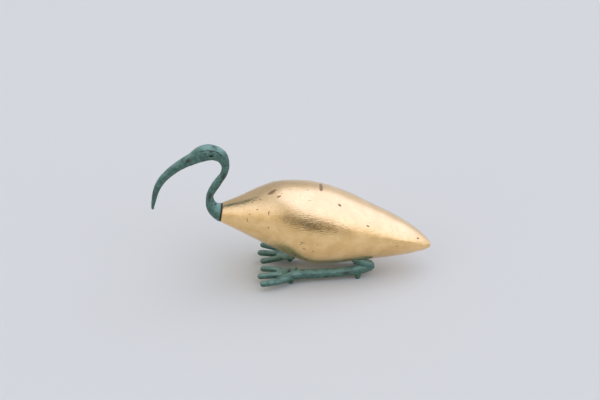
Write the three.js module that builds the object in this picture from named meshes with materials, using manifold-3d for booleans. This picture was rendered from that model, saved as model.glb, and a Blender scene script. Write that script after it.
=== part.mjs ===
// Squatting ibis: a gilded wooden body with a bronze head and neck and two bronze legs.
// Millimetres, +Z up. The bird faces -X, its left side is towards -Y, and it stands on the four
// short pegs under its feet. The origin is on the ground, under the middle of the whole figure.
import * as THREE from "three";
import { mergeVertices } from "three/addons/utils/BufferGeometryUtils.js";
import Module from "manifold-3d";

const wasm = await Module();
wasm.setup();

// Driving dimensions
const SEAM = 0.3; // gap left between two pieces that touch
const JOINT_X = -76; // where the neck's joint face meets the body, on its middle line
const JOINT_Z = 75.3;
const JOINT_RADIUS = 10.3;
const JOINT_LEAN = 0.143; // how far the joint face leans back, for each millimetre up
const LEAN_END = -20; // where the body's sections, which lean with the joint face, stand upright
const TAIL_CROWDING = 1.25; // over 1, the sections come closer together towards the tail
const TAIL_ROUND = 1.9; // how far the rounded tail tip runs past the last section
const BILL_ROUND = 0.6;
const JOINT_OVERRUN = 5; // how far the neck is drawn past its joint face before it is cut
const BODY_ROOM = 60; // side of the block that cuts the joint face

const SOLE_Z = 9.6; // height of the middle line of the toes and the palm
const PEG_LENGTH = 6;
const ANKLE_PEG = { x: -2.2, y: 24.2, top: 3, foot: 2.3 };
const HEEL_PEG = { x: 70.8, y: 15.7, top: 3.4, foot: 2.3 };

// The body, from the joint face to the tail: place along, height of back, height of belly, height
// of the line where it is widest, half width there, and how sharp that line is (1 is round).
const BODY = [
  [JOINT_X, JOINT_Z + JOINT_RADIUS, JOINT_Z - JOINT_RADIUS, JOINT_Z, JOINT_RADIUS, 1],
  [-61.4, 91.2, 58.0, 74.6, 16.1, 1],
  [-45.3, 98.6, 49.2, 73.8, 23.3, 1],
  [-23.9, 106.6, 37.2, 71.8, 32.3, 1],
  [-13.2, 108.7, 31.4, 69.9, 36.0, 1],
  [-2.4, 109.0, 26.2, 67.5, 38.6, 1],
  [8.3, 108.3, 20.8, 64.4, 41.1, 1],
  [19.1, 107.0, 17.3, 62.0, 42.4, 1],
  [40.7, 101.7, 16.3, 60.3, 40.7, 1.05],
  [62.4, 92.9, 17.0, 59.1, 36.8, 1.12],
  [84.1, 81.3, 18.4, 55.8, 30.9, 1.22],
  [106, 69.4, 20.4, 51.4, 25.4, 1.32],
  [127.9, 55.8, 23.5, 44.5, 18.3, 1.4],
  [136.7, 49.0, 25.9, 38.9, 13.3, 1.35],
  [144.5, 41.6, 27.9, 33.5, 8.2, 1.2],
  [148.3, 37.1, 30.1, 32.2, 4.4, 1],
];

// Bill, head and neck, from the bill's tip to the joint: place along and height of the middle
// line, half thickness seen from the side, half thickness across, and how full the section is
// (1 is an ellipse, less is squarer).
const NECK = [
  [-149.2, 80.4, 1.2, 1.15, 1],
  [-148.5, 85.6, 1.9, 1.8, 1],
  [-147.3, 91.3, 2.4, 2.3, 1],
  [-144.1, 103.1, 3.3, 3.1, 1],
  [-137.7, 114.5, 4.0, 3.8, 1],
  [-127.5, 124.9, 4.6, 4.4, 1],
  [-115.6, 133.4, 5.3, 5.0, 1],
  [-103.6, 140.0, 6.6, 6.1, 0.95],
  [-98.0, 143.3, 7.9, 6.9, 0.88],
  [-90.2, 146.3, 8.5, 7.5, 0.85],
  [-82.2, 146.0, 7.8, 7.3, 0.88],
  [-74.9, 142.1, 6.9, 6.4, 0.95],
  [-71.3, 135.7, 5.2, 5.0, 1],
  [-70.2, 129.2, 4.0, 4.1, 1],
  [-72.6, 120.3, 3.7, 3.8, 1],
  [-76.5, 114.7, 4.0, 4.1, 1],
  [-81.1, 107.9, 4.3, 4.3, 1],
  [-84.7, 102.0, 4.0, 4.1, 1],
  [-87.5, 96.0, 3.7, 3.8, 1],
  [-87.8, 91.2, 4.2, 4.3, 1],
  [-87.0, 85.8, 5.4, 5.5, 1],
  [-84.8, 81.2, 6.9, 7.1, 1],
  [-81.2, 77.7, 8.4, 8.6, 1],
];

// The rods of a leg, toes from the tip: place along, distance out from the middle plane, height of
// the middle line, half thickness seen from the side, half thickness across.
const INNER_TOE = [
  [-32.1, 8.3, 8.9, 3.1, 3.1],
  [-21, 10.6, SOLE_Z, 3.2, 3.6],
  [-12.8, 14, SOLE_Z, 3.2, 3.8],
];
const MIDDLE_TOE = [
  [-35, 25.4, 9.5, 3.2, 3.2],
  [-20, 23.2, SOLE_Z, 3.3, 3.8],
  [-12.5, 23, SOLE_Z, 3.3, 4],
];
const OUTER_TOE = [
  [-32.1, 42, 10, 3.2, 3.2],
  [-17.5, 36.6, SOLE_Z, 3.5, 4.2],
  [-5.5, 28.8, SOLE_Z, 3.8, 4.6],
];
const PALM = [
  [-15, 18.2, SOLE_Z, 2.8, 7.4],
  [-8, 18.8, SOLE_Z, 2.6, 8.6],
  [1, 18.8, SOLE_Z, 2.7, 8.4],
];
const LOWER_LEG = [
  [-2, 26, 10.2, 4.6, 4.7],
  [8, 23.4, 10.5, 5.3, 5.2],
  [28, 20.8, 9.6, 5, 5],
  [50, 18.2, 9.4, 4.6, 4.8],
  [62, 16.8, 9.9, 5, 5],
  [74, 15.4, 11.8, 5.5, 5.5],
  [83.2, 14.4, 15.2, 6.2, 5.8],
];
const UPPER_LEG = [
  [83.2, 14.4, 16.2, 5, 5.2],
  [72, 15.2, 21.4, 4.2, 4.6],
  [61, 14.8, 27, 3.6, 4],
];
const NUB = [
  [-1, 16, 10.6, 2.4, 2.4],
  [3.8, 13.8, 12.3, 1.6, 1.6],
];

// The eye: a lens cut into both sides of the head.
const EYE = { x: -84.8, z: 145.2, out: 7.6, length: 3.4, height: 1.5, depth: 2.4 };

const GOLD = new THREE.MeshStandardMaterial({ color: 0xd4ae70, roughness: 0.3, metalness: 1 });
const BRONZE = new THREE.MeshStandardMaterial({ color: 0x557a6c, roughness: 0.8, metalness: 0.3 });

// Smooth values between the rows of a table. The first column says where each row is.
function between(rows) {
  const columns = rows[0].length - 1;
  const values = rows.flatMap((row) => row.slice(1));
  const curve = new THREE.CubicInterpolant(rows.map((row) => row[0]), values, columns);
  return (where) => [...curve.evaluate(where)];
}

// The corner of a section: across and up run from -1 to 1, and sharp bends the ellipse.
function bend(value, reach, sharp) {
  if (reach === 0) return 0;
  return Math.sign(value) * Math.abs(value / reach) ** sharp * reach;
}

// A geometry with its corners merged, so that it is one closed surface.
function bare(geometry) {
  geometry.deleteAttribute("uv");
  geometry.deleteAttribute("normal");
  return mergeVertices(geometry, 1e-4);
}

// A closed skin with round ends. The function place moves each point, which it gets as its place
// along (0 to 1), past an end (-1 to 1), and round the section (two numbers in the unit disc).
function skin({ sides, steps, capRings }, place) {
  const geometry = new THREE.CapsuleGeometry(1, 1, capRings, sides, steps);
  const points = geometry.getAttribute("position");
  const point = new THREE.Vector3();
  for (let i = 0; i < points.count; i++) {
    point.fromBufferAttribute(points, i);
    const along = THREE.MathUtils.clamp(point.y + 0.5, 0, 1);
    const past = point.y + 0.5 - along;
    points.setXYZ(i, ...place(along, past, point.x, point.z));
  }
  return bare(geometry);
}

// A geometry as a solid that can be cut and joined. Faces that shrank to a line are left out.
function solidOf(geometry) {
  const corners = geometry.index.array;
  const faces = [];
  for (let i = 0; i < corners.length; i += 3) {
    const [a, b, c] = corners.slice(i, i + 3);
    if (a !== b && b !== c && c !== a) faces.push(a, b, c);
  }
  const vertProperties = new Float32Array(geometry.getAttribute("position").array);
  const triVerts = new Uint32Array(faces);
  return new wasm.Manifold(new wasm.Mesh({ numProp: 3, vertProperties, triVerts }));
}

function meshOf(solid, name, material) {
  const made = solid.getMesh();
  const geometry = new THREE.BufferGeometry();
  geometry.setAttribute("position", new THREE.BufferAttribute(made.vertProperties, 3));
  geometry.setIndex(new THREE.BufferAttribute(made.triVerts, 1));
  geometry.computeVertexNormals();
  const mesh = new THREE.Mesh(geometry, material);
  mesh.name = name;
  return mesh;
}

// A rod along a path: each row is x, y, z, half thickness up, half thickness across, fullness.
function rod(rows, detail, ends = [1, 1]) {
  let reach = 0;
  const stations = rows.map((row, i) => {
    if (i > 0) reach += Math.hypot(...[0, 1, 2].map((k) => row[k] - rows[i - 1][k]));
    return [reach, ...row];
  });
  const at = between(stations);
  const probe = 1e-3 * reach;
  return skin(detail, (along, past, turnX, turnZ) => {
    const [x, y, z, up, across, fullness = 1] = at(along * reach);
    const ahead = new THREE.Vector3(...at(Math.min(reach, along * reach + probe)));
    const behind = new THREE.Vector3(...at(Math.max(0, along * reach - probe)));
    const forward = ahead.sub(behind).normalize();
    const side = new THREE.Vector3(0, 1, 0).addScaledVector(forward, -forward.y).normalize();
    const down = side.clone().cross(forward);
    const out = Math.hypot(turnX, turnZ);
    const round = past < 0 ? ends[0] : ends[1];
    return new THREE.Vector3(x, y, z)
      .addScaledVector(forward, past * round * Math.min(up, across))
      .addScaledVector(side, bend(turnX, out, fullness) * across)
      .addScaledVector(down, bend(turnZ, out, fullness) * up)
      .toArray();
  });
}

// The body's skin, made larger all round by grow to leave room for a piece beside it.
function bodySkin(grow) {
  const at = between(BODY);
  const first = BODY[0][0];
  const last = BODY[BODY.length - 1][0];
  const detail = { sides: 36, steps: 42, capRings: 3 };
  return skin(detail, (along, past, turnX, turnZ) => {
    const spread = 1 - (1 - along) ** TAIL_CROWDING;
    const x = THREE.MathUtils.lerp(first - grow, last + grow, spread);
    const [back, belly, widest, half, sharp] = at(x);
    const height = turnZ < 0 ? back + grow - widest : widest - belly + grow;
    const out = Math.hypot(turnX, turnZ);
    const z = widest - bend(turnZ, out, sharp) * height;
    const lean = JOINT_LEAN * THREE.MathUtils.smoothstep(-x, -LEAN_END, -JOINT_X);
    const tail = past > 0 ? past * TAIL_ROUND : 0;
    return [x + tail + lean * (z - JOINT_Z), turnX * (half + grow), z];
  });
}

function makeBody() {
  return meshOf(solidOf(bodySkin(0)), "body", GOLD);
}

function makeHeadAndNeck() {
  const slope = Math.atan(JOINT_LEAN);
  const joint = new THREE.Vector3(JOINT_X, 0, JOINT_Z);
  const inward = new THREE.Vector3(1, 0, 0).applyAxisAngle(new THREE.Vector3(0, 1, 0), slope);
  const rows = NECK.map(([x, z, ...section]) => [x, 0, z, ...section]);
  for (const past of [0, JOINT_OVERRUN]) {
    const place = joint.clone().addScaledVector(inward, past).toArray();
    rows.push([...place, JOINT_RADIUS, JOINT_RADIUS, 1]);
  }
  let solid = solidOf(rod(rows, { sides: 18, steps: 66, capRings: 2 }, [BILL_ROUND, 0]));
  const behind = new THREE.BoxGeometry(BODY_ROOM, BODY_ROOM, BODY_ROOM);
  behind.rotateY(slope);
  behind.translate(...joint.addScaledVector(inward, BODY_ROOM / 2 - SEAM).toArray());
  solid = solid.subtract(solidOf(bare(behind)));
  for (const side of [-1, 1]) {
    const lens = new THREE.SphereGeometry(1, 12, 8);
    lens.scale(EYE.length, EYE.depth, EYE.height);
    lens.translate(EYE.x, side * EYE.out, EYE.z);
    solid = solid.subtract(solidOf(bare(lens)));
  }
  return meshOf(solid, "head_and_neck", BRONZE);
}

// A peg that stands on the ground with a flat foot.
function peg({ x, y, top, foot }, side) {
  const rows = [
    [x, side * y, 0, foot, foot],
    [x, side * y, PEG_LENGTH, top, top],
  ];
  return rod(rows, { sides: 10, steps: 1, capRings: 1 }, [0, 0]);
}

function makeLeg(name, side) {
  const limb = (rows, detail) =>
    rod(
      rows.map(([x, y, ...section]) => [x, side * y, ...section]),
      { capRings: 2, ...detail },
    );
  const parts = [
    limb(INNER_TOE, { sides: 10, steps: 4 }),
    limb(MIDDLE_TOE, { sides: 10, steps: 4 }),
    limb(OUTER_TOE, { sides: 10, steps: 4 }),
    limb(PALM, { sides: 12, steps: 3 }),
    limb(LOWER_LEG, { sides: 12, steps: 12 }),
    limb(UPPER_LEG, { sides: 12, steps: 4 }),
    limb(NUB, { sides: 8, steps: 1 }),
    peg(ANKLE_PEG, side),
    peg(HEEL_PEG, side),
  ];
  const whole = parts.map(solidOf).reduce((sum, part) => sum.add(part));
  return meshOf(whole.subtract(solidOf(bodySkin(SEAM))), name, BRONZE);
}

const ibis = new THREE.Group();
ibis.add(makeBody(), makeHeadAndNeck(), makeLeg("left_leg", -1), makeLeg("right_leg", 1));

export default ibis;
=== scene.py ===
import math

import bpy
from bpy.props import FloatProperty, FloatVectorProperty, PointerProperty
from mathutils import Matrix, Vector


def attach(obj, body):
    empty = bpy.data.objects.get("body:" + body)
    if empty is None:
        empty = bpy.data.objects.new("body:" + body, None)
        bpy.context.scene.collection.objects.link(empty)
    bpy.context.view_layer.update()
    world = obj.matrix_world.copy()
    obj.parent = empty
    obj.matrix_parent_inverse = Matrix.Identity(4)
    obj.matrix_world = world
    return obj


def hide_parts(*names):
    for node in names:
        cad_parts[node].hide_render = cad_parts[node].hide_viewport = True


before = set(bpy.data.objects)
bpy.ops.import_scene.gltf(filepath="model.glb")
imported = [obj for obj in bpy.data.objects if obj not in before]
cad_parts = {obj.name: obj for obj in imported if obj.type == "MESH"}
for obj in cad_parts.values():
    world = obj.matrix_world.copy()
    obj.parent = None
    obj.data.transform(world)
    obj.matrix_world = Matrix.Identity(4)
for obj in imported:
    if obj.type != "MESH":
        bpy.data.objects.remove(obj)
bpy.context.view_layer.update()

bl_info = {
    "name": "Squatting Ibis Figurine",
    "version": (1, 0, 0),
    "blender": (4, 5, 0),
    "location": "View3D > Sidebar > Ibis",
    "description": "Dresses a squatting ibis with a gilded wooden body and bronze head and legs",
    "category": "Add Mesh",
}

MM = 0.001

# The joint face between neck and body: a point on it, and the way it faces, out of the body.
JOINT_PLACE = Vector((-76, 0, 75.3)) * MM
JOINT_FACING = Vector((-1, 0, 0.143)).normalized()
# The black seam along the joint is partly painted shade of the narrow groove there and partly dark
# glue.
SEAM_TOP = 92 * MM  # above this the neck leans back past the joint face, and has no dark seam


# The room's light, and where it is brighter or dimmer: azimuth (0 is straight out from the bird's
# left side, 90 straight behind its tail) and elevation of the middle, how far out it is full and
# how far out it ends, all in degrees, and the light it adds.
ROOM_LIGHT = 0.72
ROOM_GLOWS = {
    "softbox": (80, 52, 42, 58, 0.62),
    "card": (-52, 28, 8, 30, 0.36),
    "dark_left": (-10, 12, 7, 20, -0.50),
    "dark_right": (14, 17, 10, 24, -0.56),
    "dim_behind": (-150, 22, 20, 52, -0.26),
}


# The brow's edge on both sides of the head, from the bill's root to the nape: place along, height.
BROW = [(-103, 148.6), (-96, 150.4), (-88.7, 151.9), (-82.5, 151.2), (-77, 148.8), (-71, 143.2)]

# Marks on the bird's left side, seen from the side in millimetres: place along, height, half
# length, half height, and how far it is turned, in degrees.
EYE = [(-84.6, 144.9, 3.3, 1.4, -3)]
NECK_SPOTS = [
    (-72.6, 119.6, 6.2, 2.6, 70),
    (-75.2, 113.8, 2.8, 1.9, 50),
    (-87.3, 96.6, 5.6, 2.4, 75),
    (-81.8, 86.6, 2.2, 1.7, 0),
    (-84.2, 150.3, 3.2, 1.4, 0),
    (-78.4, 149.3, 1.6, 1.4, 0),
    (-74.4, 145.4, 1.9, 1.6, 0),
    (-91.0, 148.2, 1.9, 1.2, 0),
    (-109.0, 139.6, 3.8, 2.8, 60),
]
LEG_SPOTS = [
    (57.6, 10.2, 4.2, 2.2, 10),
    (35.8, 8.2, 3.6, 1.5, 5),
    (-3.5, 12.3, 2.8, 2.0, 0),
]
GILDING_SPOTS = [
    (-45.3, 83.6, 1.0, 0.8, 0),
    (-37.3, 89.5, 1.8, 0.6, 25),
    (-42.7, 94.4, 1.2, 0.6, 20),
    (-34.3, 98.0, 1.4, 0.6, 25),
    (-21.5, 104.9, 7.5, 1.3, 22),
    (-14.5, 103.0, 3.5, 0.9, 15),
    (-25.7, 73.0, 1.3, 1.1, 0),
    (-25.0, 88.5, 0.7, 3.4, -12),
    (-48.0, 77.5, 0.6, 3.6, 8),
    (10.0, 59.6, 3.8, 0.7, -4),
    (8.2, 57.4, 2.6, 0.7, 20),
    (11.6, 51.4, 4.0, 0.5, -6),
    (20.8, 48.4, 1.2, 0.9, 10),
    (26.0, 57.5, 1.0, 0.7, 0),
    (30.7, 104.5, 3.2, 1.2, -10),
    (59.4, 28.6, 1.5, 0.9, 0),
    (49.6, 92.8, 2.8, 1.0, -30),
    (79.8, 70.6, 2.6, 0.8, -25),
    (111.6, 43.0, 2.0, 0.6, 20),
    (135.3, 46.1, 2.2, 0.7, -30),
]


# Sizes and colours that a user would change


class IbisGilding(bpy.types.PropertyGroup):
    gold: FloatVectorProperty(
        name="Gold",
        description="Colour of the gold leaf",
        subtype="COLOR",
        min=0.0,
        max=1.0,
        default=(0.93, 0.64, 0.30),
    )
    bole: FloatVectorProperty(
        name="Bole",
        description="Colour of the red-brown ground where the leaf is worn through",
        subtype="COLOR",
        min=0.0,
        max=1.0,
        default=(0.20, 0.095, 0.03),
    )
    # Paler leaf laid on what faces up: a painted highlight of the soft light above.
    gold_highlight: FloatVectorProperty(
        name="Highlight",
        description="Colour of the thin pale bloom on what faces up",
        subtype="COLOR",
        min=0.0,
        max=1.0,
        default=(0.93, 0.74, 0.52),
    )
    unevenness: FloatProperty(
        name="Unevenness",
        description="How far the carved surface strays from a true curve",
        subtype="DISTANCE",
        unit="LENGTH",
        default=0.5 * MM,
    )


class IbisBronze(bpy.types.PropertyGroup):
    verdigris: FloatVectorProperty(
        name="Verdigris",
        description="Colour of the green crust",
        subtype="COLOR",
        min=0.0,
        max=1.0,
        default=(0.115, 0.255, 0.20),
    )
    patina: FloatVectorProperty(
        name="Patina",
        description="Colour of the dark green skin under the crust",
        subtype="COLOR",
        min=0.0,
        max=1.0,
        default=(0.045, 0.105, 0.080),
    )
    metal: FloatVectorProperty(
        name="Brown metal",
        description="Colour of the bare spots",
        subtype="COLOR",
        min=0.0,
        max=1.0,
        default=(0.035, 0.030, 0.022),
    )
    # Pale green laid on what faces up: a painted highlight of the light from above.
    sheen: FloatVectorProperty(
        name="Shine",
        description="Colour of the pale bloom on what faces up",
        subtype="COLOR",
        min=0.0,
        max=1.0,
        default=(0.25, 0.43, 0.37),
    )
    grain: FloatProperty(
        name="Grain",
        description="Edge of the cells that the castings are meshed with",
        subtype="DISTANCE",
        unit="LENGTH",
        default=0.4 * MM,
    )
    crust: FloatProperty(
        name="Crust",
        description="Height of the corrosion's bumps",
        subtype="DISTANCE",
        unit="LENGTH",
        default=0.35 * MM,
    )


class IbisStudio(bpy.types.PropertyGroup):
    floor: FloatVectorProperty(
        name="Floor",
        description="Colour of the floor",
        subtype="COLOR",
        min=0.0,
        max=1.0,
        default=(0.70, 0.70, 0.655),
    )
    distance: FloatProperty(
        name="Camera distance",
        description="From the camera to the middle of the figure",
        subtype="DISTANCE",
        unit="LENGTH",
        default=1.5139,
    )
    elevation: FloatProperty(
        name="Camera elevation",
        description="How far the camera looks down",
        subtype="ANGLE",
        unit="ROTATION",
        default=math.radians(28),
    )
    azimuth: FloatProperty(
        name="Camera azimuth",
        description="How far the camera stands round from straight beside the bird",
        subtype="ANGLE",
        unit="ROTATION",
        default=math.radians(1.39),
    )


# Shader helpers


def node(tree, kind, inputs=None, **settings):
    """Adds a shader node, sets it up and fills its inputs with values or links."""
    made = tree.nodes.new("ShaderNode" + kind)
    for name, value in settings.items():
        setattr(made, name, value)
    for key, value in (inputs or {}).items():
        if isinstance(value, bpy.types.NodeSocket):
            tree.links.new(value, made.inputs[key])
        else:
            made.inputs[key].default_value = value
    return made


def new_material(name):
    material = bpy.data.materials.new(name)
    material.use_nodes = True
    material.node_tree.nodes.clear()
    return material, material.node_tree


def object_place(tree, stretch=(1, 1, 1)):
    """Object coordinates, stretched so that a pattern comes out longer one way."""
    place = node(tree, "TexCoord").outputs["Object"]
    return node(tree, "Mapping", {"Vector": place, "Scale": stretch}).outputs["Vector"]


def noise(tree, place, size, detail, roughness):
    """Cloudy pattern from 0 to 1 with blots of the given size in metres."""
    inputs = {"Vector": place, "Scale": 1 / size, "Detail": detail, "Roughness": roughness}
    return node(tree, "TexNoise", inputs).outputs["Fac"]


def between(tree, value, low, high):
    """0 below low, 1 above high and a soft step between them."""
    inputs = {"Value": value, "From Min": low, "From Max": high}
    return node(tree, "MapRange", inputs, interpolation_type="SMOOTHSTEP").outputs["Result"]


def sums(tree, operation, *values):
    """One operation on any number of values, from the left."""
    total = values[0]
    for value in values[1:]:
        total = node(tree, "Math", {0: total, 1: value}, operation=operation).outputs[0]
    return total


def blend(tree, share, under, over):
    """The under colour, with the over colour laid on it by share."""
    mixed = node(tree, "Mix", {"Factor": share}, data_type="RGBA")
    for slot, value in ((6, under), (7, over)):
        if isinstance(value, bpy.types.NodeSocket):
            tree.links.new(value, mixed.inputs[slot])
        else:
            mixed.inputs[slot].default_value = (*value[:3], 1)
    return mixed.outputs[2]


def ragged(tree, place, size, reach):
    """The same place, shaken by a small noise so that edges drawn on it come out ragged."""
    inputs = {"Vector": place, "Scale": 1 / size, "Detail": 3.0}
    shake = node(tree, "TexNoise", inputs).outputs["Color"]
    centred = node(tree, "VectorMath", {0: shake, 1: (0.5, 0.5, 0.5)}, operation="SUBTRACT")
    scaled = node(tree, "VectorMath", {0: centred.outputs[0], "Scale": reach}, operation="SCALE")
    moved = node(tree, "VectorMath", {0: place, 1: scaled.outputs[0]}, operation="ADD")
    return moved.outputs[0]


def spots(tree, place, table, middle, depth):
    """How much a place lies on a mark of the table, 0 to 1. The marks are centred on the given
    place across the bird and fade out at the given depth before and behind it."""
    found = []
    for along, up, length, height, turn in table:
        inputs = {
            "Vector": place,
            "Location": (along * MM, middle, up * MM),
            "Rotation": (0, -math.radians(turn), 0),
            "Scale": (length * MM, depth, height * MM),
        }
        mark = node(tree, "Mapping", inputs, vector_type="TEXTURE").outputs["Vector"]
        fade = node(tree, "TexGradient", {"Vector": mark}, gradient_type="SPHERICAL")
        found.append(fade.outputs["Fac"])
    return between(tree, sums(tree, "MAXIMUM", *found), 0.12, 0.5)


def off_joint(tree, place):
    """Distance in metres from the joint face, positive towards the head."""
    facing = node(tree, "VectorMath", {0: place, 1: JOINT_FACING}, operation="DOT_PRODUCT")
    return sums(tree, "SUBTRACT", facing.outputs["Value"], JOINT_PLACE.dot(JOINT_FACING))


def finish_material(tree, settings, height, depth):
    """The surface shader with its bumps, wired to the output."""
    bump = node(tree, "Bump", {"Height": height, "Distance": depth, "Strength": 1.0})
    surface = node(tree, "BsdfPrincipled", {**settings, "Normal": bump.outputs["Normal"]})
    out = node(tree, "OutputMaterial")
    tree.links.new(surface.outputs["BSDF"], out.inputs["Surface"])


# Mesh helpers


def own_copy(name, source):
    """A piece of its own with the CAD node's mesh, merged and ready to shape."""
    bpy.ops.object.select_all(action="DESELECT")
    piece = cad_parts[source].copy()
    piece.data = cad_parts[source].data.copy()
    for key in list(piece.keys()):
        del piece[key]
    piece.parent = None
    piece.name = name
    piece.data.name = name
    piece.data.materials.clear()
    bpy.context.scene.collection.objects.link(piece)
    piece.select_set(True)
    bpy.context.view_layer.objects.active = piece
    bpy.ops.object.mode_set(mode="EDIT")
    bpy.ops.mesh.select_all(action="SELECT")
    bpy.ops.mesh.remove_doubles(threshold=0.001 * MM)
    bpy.ops.object.mode_set(mode="OBJECT")
    return piece


def modify(piece, kind, **settings):
    """Adds a modifier and applies it at once."""
    bpy.context.view_layer.objects.active = piece
    bpy.ops.object.modifier_add(type=kind)
    modifier = piece.modifiers[-1]
    for name, value in settings.items():
        setattr(modifier, name, value)
    bpy.ops.object.modifier_apply(modifier=modifier.name)


def roughen(piece, name, size, height, rise=0.0):
    """Pushes the surface in and out by a cloudy pattern with blots of the given size, and out by
    the rise all over, which makes up for what smoothing takes off."""
    texture = bpy.data.textures.new(name, "CLOUDS")
    texture.noise_scale = size
    modify(piece, "DISPLACE", texture=texture, strength=height, mid_level=0.5 - rise / height)


def carve(piece, depth_at):
    """Moves each point along its normal by what depth_at gives for its place and normal."""
    moves = [depth_at(point.co, point.normal) for point in piece.data.vertices]
    normals = [point.normal.copy() for point in piece.data.vertices]
    for point, normal, move in zip(piece.data.vertices, normals, moves):
        point.co += normal * move
    piece.data.update()


def line_height(line, along):
    """Height of a line of (place along, height) points, in metres, or None beyond its ends."""
    for (x0, z0), (x1, z1) in zip(line, line[1:]):
        if x0 * MM <= along <= x1 * MM:
            share = (along / MM - x0) / (x1 - x0)
            return (z0 + share * (z1 - z0)) * MM
    return None


def dress(piece, node_name, material):
    """Gives a finished piece its material and puts it in the place of its CAD node."""
    piece.data.materials.append(material)
    bpy.ops.object.select_all(action="DESELECT")
    piece.select_set(True)
    bpy.context.view_layer.objects.active = piece
    bpy.ops.object.shade_smooth()
    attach(piece, "root")
    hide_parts(node_name)


# The gilded body


def gilding(look):
    """Burnished gold leaf on gesso, rubbed through to the bole and finely crackled, with a painted
    highlight on what faces up.
    """
    material, tree = new_material("gilding")
    place = object_place(tree)
    strokes = noise(tree, object_place(tree, (0.25, 1, 1)), 1.6 * MM, 3, 0.6)
    cloud = noise(tree, place, 14 * MM, 4, 0.6)
    specks = noise(tree, object_place(tree, (0.5, 1, 1)), 2.2 * MM, 6, 0.7)
    fine = noise(tree, place, 0.7 * MM, 3, 0.6)
    worn = sums(
        tree,
        "MULTIPLY",
        between(tree, specks, 0.60, 0.72),
        between(tree, cloud, 0.40, 0.62),
    )
    # A ring of bole along the joint face: worn leaf at the edge, and partly painted shade of the
    # groove between body and neck.
    joint_edge_wear_and_shade = between(tree, off_joint(tree, place), -1.0 * MM, -0.2 * MM)
    marks = spots(tree, ragged(tree, place, 1.5 * MM, 1.6 * MM), GILDING_SPOTS, -25 * MM, 80 * MM)
    worn = sums(tree, "MAXIMUM", worn, joint_edge_wear_and_shade, sums(tree, "MULTIPLY", marks, 0.85))
    light = [min(1, 1.08 * part) for part in look.gold]
    deep = [look.gold[0] * 0.9, look.gold[1] * 0.84, look.gold[2] * 0.72]
    leaf = blend(tree, between(tree, cloud, 0.3, 0.7), deep, light)
    facing = node(tree, "TexCoord").outputs["Normal"]
    upward = node(tree, "SeparateXYZ", {0: facing}).outputs["Z"]
    # Painted highlight: the leaf turns paler on what faces up.
    highlight_share = sums(tree, "MULTIPLY", between(tree, upward, 0.25, 0.8), 0.5)
    leaf = blend(tree, highlight_share, leaf, look.gold_highlight)
    colour = blend(tree, worn, leaf, look.bole)
    rough = node(tree, "MapRange", {"Value": worn, "To Min": 0.22, "To Max": 0.6}).outputs["Result"]
    metal = node(tree, "MapRange", {"Value": worn, "To Min": 1.0, "To Max": 0.2}).outputs["Result"]
    height = sums(tree, "ADD", strokes, sums(tree, "MULTIPLY", fine, 0.3))
    height = sums(tree, "SUBTRACT", height, sums(tree, "MULTIPLY", worn, 0.5))
    settings = {
        "Base Color": colour,
        "Roughness": rough,
        "Metallic": metal,
        "Coat Weight": 0.5,
        "Coat Roughness": 0.2,
    }
    finish_material(tree, settings, height, 0.25 * MM)
    return material


class IBIS_OT_body(bpy.types.Operator):
    """Make the gilded wooden body"""

    bl_idname = "ibis.body"
    bl_label = "Gilded Body"

    def execute(self, context):
        look = context.scene.ibis_gilding
        body = own_copy("gilded_body", "body")
        bpy.ops.object.mode_set(mode="EDIT")
        bpy.ops.mesh.select_all(action="SELECT")
        bpy.ops.mesh.tris_convert_to_quads()
        bpy.ops.object.mode_set(mode="OBJECT")
        modify(body, "SUBSURF", levels=2, render_levels=2)
        roughen(body, "carving", 26 * MM, look.unevenness, rise=0.3 * MM)
        dress(body, "body", gilding(look))
        return {"FINISHED"}


# The bronze castings


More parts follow.
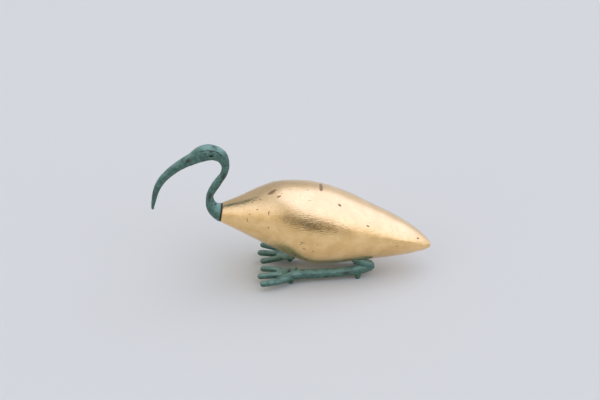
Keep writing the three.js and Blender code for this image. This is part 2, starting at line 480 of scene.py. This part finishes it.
def verdigris(name, look, marks, middle):
    """Mottled green corrosion with dark pits and bare brown spots, and a painted highlight of pale
    green on what faces up.
    """
    material, tree = new_material(name)
    place = object_place(tree)
    broad = noise(tree, place, 11 * MM, 4, 0.6)
    mottle = noise(tree, place, 4.5 * MM, 5, 0.65)
    grain = noise(tree, place, 1.3 * MM, 4, 0.65)
    grit = noise(tree, place, 0.5 * MM, 2, 0.6)
    colour = blend(tree, between(tree, mottle, 0.36, 0.66), look.patina, look.verdigris)
    colour = blend(tree, between(tree, grain, 0.60, 0.36), colour, look.patina)
    facing = node(tree, "TexCoord").outputs["Normal"]
    upward = node(tree, "SeparateXYZ", {0: facing}).outputs["Z"]
    # Painted highlight: pale green on what faces up, broken up by a broad cloudy pattern.
    sheen = sums(
        tree, "MULTIPLY", between(tree, upward, 0.1, 0.9), between(tree, broad, 0.25, 0.6), 0.8
    )
    colour = blend(tree, sheen, colour, look.sheen)
    specks = noise(tree, place, 2.4 * MM, 5, 0.7)
    bare = sums(
        tree, "MULTIPLY", between(tree, specks, 0.62, 0.70), between(tree, broad, 0.60, 0.45)
    )
    drawn = spots(tree, ragged(tree, place, 2.2 * MM, 2.4 * MM), marks, middle, 9 * MM)
    bare = sums(tree, "MAXIMUM", bare, sums(tree, "MULTIPLY", drawn, 0.85))
    colour = blend(tree, bare, colour, look.metal)
    # Black seam on the bronze along the joint: partly painted shade of the groove between neck and
    # body, partly dark glue.
    before_joint = between(tree, off_joint(tree, place), 2.4 * MM, 0.6 * MM)
    past_joint = between(tree, off_joint(tree, place), -2 * MM, -1 * MM)
    height_up = node(tree, "SeparateXYZ", {0: place}).outputs["Z"]
    below_neck = between(tree, height_up, SEAM_TOP + 4 * MM, SEAM_TOP)
    seam_shade_and_glue = sums(tree, "MULTIPLY", before_joint, past_joint, below_neck)
    # The eye is painted black as well.
    seam_shade_and_eye = sums(tree, "MAXIMUM", seam_shade_and_glue, spots(tree, place, EYE, 0, 400 * MM))
    colour = blend(tree, sums(tree, "MULTIPLY", seam_shade_and_eye, 0.94), colour, (0.006, 0.007, 0.006))
    height = sums(tree, "ADD", grain, sums(tree, "MULTIPLY", grit, 0.5))
    settings = {"Base Color": colour, "Roughness": 0.5, "Metallic": 0.1}
    finish_material(tree, settings, height, 0.18 * MM)
    return material


def brow_relief(place, normal):
    """The side of the head falls back under the brow's edge, and the crown stands a little proud."""
    line = line_height(BROW, place.x)
    if line is None or abs(normal.y) < 0.1:
        return 0
    below = (line - place.z) / MM
    ends = min(1, (place.x / MM - BROW[0][0]) / 4, (BROW[-1][0] - place.x / MM) / 4)
    side = min(1, (abs(normal.y) - 0.1) / 0.3)
    if 0 <= below < 7:
        return -0.75 * MM * (1 - below / 7) ** 1.5 * ends * side
    if -2.5 < below < 0:
        return 0.25 * MM * (1 + below / 2.5) * ends * side
    return 0


def casting(name, node_name, look, material, relief=None):
    """A bronze piece: the CAD form rounded off, then carved and roughened by corrosion."""
    piece = own_copy(name, node_name)
    piece.data.remesh_voxel_size = look.grain
    bpy.ops.object.voxel_remesh()
    modify(piece, "SMOOTH", factor=0.5, iterations=5)
    if relief:
        carve(piece, relief)
    roughen(piece, name + "_lumps", 5 * MM, look.crust, rise=0.15 * MM)
    roughen(piece, name + "_crust", 1.6 * MM, 0.5 * look.crust)
    dress(piece, node_name, material)


class IBIS_OT_castings(bpy.types.Operator):
    """Make the bronze head with its neck and the two bronze legs"""

    bl_idname = "ibis.castings"
    bl_label = "Bronze Head and Legs"

    def execute(self, context):
        look = context.scene.ibis_bronze
        head = verdigris("verdigris_head", look, NECK_SPOTS, -6 * MM)
        legs = verdigris("verdigris_legs", look, LEG_SPOTS, -23 * MM)
        casting("bronze_head_and_neck", "head_and_neck", look, head, brow_relief)
        casting("bronze_left_leg", "left_leg", look, legs)
        casting("bronze_right_leg", "right_leg", look, legs)
        return {"FINISHED"}


# The studio


def add_camera(studio):
    target = Vector((8.34, 0, 88.77)) * MM
    azimuth, elevation = studio.azimuth, studio.elevation
    looking = Vector(
        (
            math.sin(azimuth) * math.cos(elevation),
            math.cos(azimuth) * math.cos(elevation),
            -math.sin(elevation),
        )
    )
    data = bpy.data.cameras.new("camera")
    data.lens = 85
    data.sensor_width = 36
    camera = bpy.data.objects.new("camera", data)
    camera.location = target - studio.distance * looking
    camera.rotation_euler = looking.to_track_quat("-Z", "Y").to_euler()
    bpy.context.scene.collection.objects.link(camera)
    bpy.context.scene.camera = camera


def glow(tree, direction, azimuth, elevation, full, ends, light):
    """Light added round one direction of the room: full inside one angle, gone beyond another."""
    a, e = math.radians(azimuth), math.radians(elevation)
    middle = (math.sin(a) * math.cos(e), -math.cos(a) * math.cos(e), math.sin(e))
    near = node(tree, "VectorMath", {0: direction, 1: middle}, operation="DOT_PRODUCT")
    edge = math.cos(math.radians(ends)), math.cos(math.radians(full))
    return sums(tree, "MULTIPLY", between(tree, near.outputs["Value"], *edge), light)


def light_room():
    """A pale room with one large soft light, as the burnished gold mirrors it."""
    world = bpy.data.worlds.new("studio")
    bpy.context.scene.world = world
    world.use_nodes = True
    tree = world.node_tree
    tree.nodes.clear()
    direction = node(tree, "TexCoord").outputs["Generated"]
    glows = [glow(tree, direction, *one) for one in ROOM_GLOWS.values()]
    light = node(tree, "Clamp", {0: sums(tree, "ADD", ROOM_LIGHT, *glows), "Min": 0.1, "Max": 4})
    tint = blend(tree, between(tree, light.outputs[0], 0.8, 1.3), (1, 1, 1), (0.96, 1.0, 1.22))
    back = node(tree, "Background", {"Color": tint, "Strength": light.outputs[0]})
    out = node(tree, "OutputWorld")
    tree.links.new(back.outputs[0], out.inputs["Surface"])


class IBIS_OT_studio(bpy.types.Operator):
    """Set up the pale floor, the soft light and the camera"""

    bl_idname = "ibis.studio"
    bl_label = "Studio"

    def execute(self, context):
        studio = context.scene.ibis_studio
        bpy.ops.object.select_all(action="DESELECT")
        bpy.ops.mesh.primitive_plane_add(size=24, location=(0, 0, 0))
        floor = context.active_object
        floor.name = "floor"
        material, tree = new_material("pale_floor")
        surface = node(
            tree,
            "BsdfPrincipled",
            {"Base Color": (*studio.floor, 1), "Roughness": 0.9, "Specular IOR Level": 0.1},
        )
        out = node(tree, "OutputMaterial")
        tree.links.new(surface.outputs["BSDF"], out.inputs["Surface"])
        floor.data.materials.append(material)
        light_room()
        add_camera(studio)
        context.scene.view_settings.view_transform = "Standard"
        return {"FINISHED"}


# The add-on


class IBIS_PT_figurine(bpy.types.Panel):
    """Builds the figurine piece by piece"""

    bl_idname = "IBIS_PT_figurine"
    bl_label = "Squatting Ibis"
    bl_space_type = "VIEW_3D"
    bl_region_type = "UI"
    bl_category = "Ibis"

    def draw(self, context):
        groups = (
            (context.scene.ibis_gilding, "ibis.body"),
            (context.scene.ibis_bronze, "ibis.castings"),
            (context.scene.ibis_studio, "ibis.studio"),
        )
        for group, operator in groups:
            box = self.layout.box()
            for name in group.__annotations__:
                box.prop(group, name)
            box.operator(operator)


CLASSES = (
    IbisGilding,
    IbisBronze,
    IbisStudio,
    IBIS_OT_body,
    IBIS_OT_castings,
    IBIS_OT_studio,
    IBIS_PT_figurine,
)


def register():
    for cls in CLASSES:
        bpy.utils.register_class(cls)
    bpy.types.Scene.ibis_gilding = PointerProperty(type=IbisGilding)
    bpy.types.Scene.ibis_bronze = PointerProperty(type=IbisBronze)
    bpy.types.Scene.ibis_studio = PointerProperty(type=IbisStudio)


def unregister():
    del bpy.types.Scene.ibis_studio
    del bpy.types.Scene.ibis_bronze
    del bpy.types.Scene.ibis_gilding
    for cls in reversed(CLASSES):
        bpy.utils.unregister_class(cls)


def main():
    register()
    bpy.ops.ibis.body()
    bpy.ops.ibis.castings()
    bpy.ops.ibis.studio()


if __name__ == "__main__":
    main()
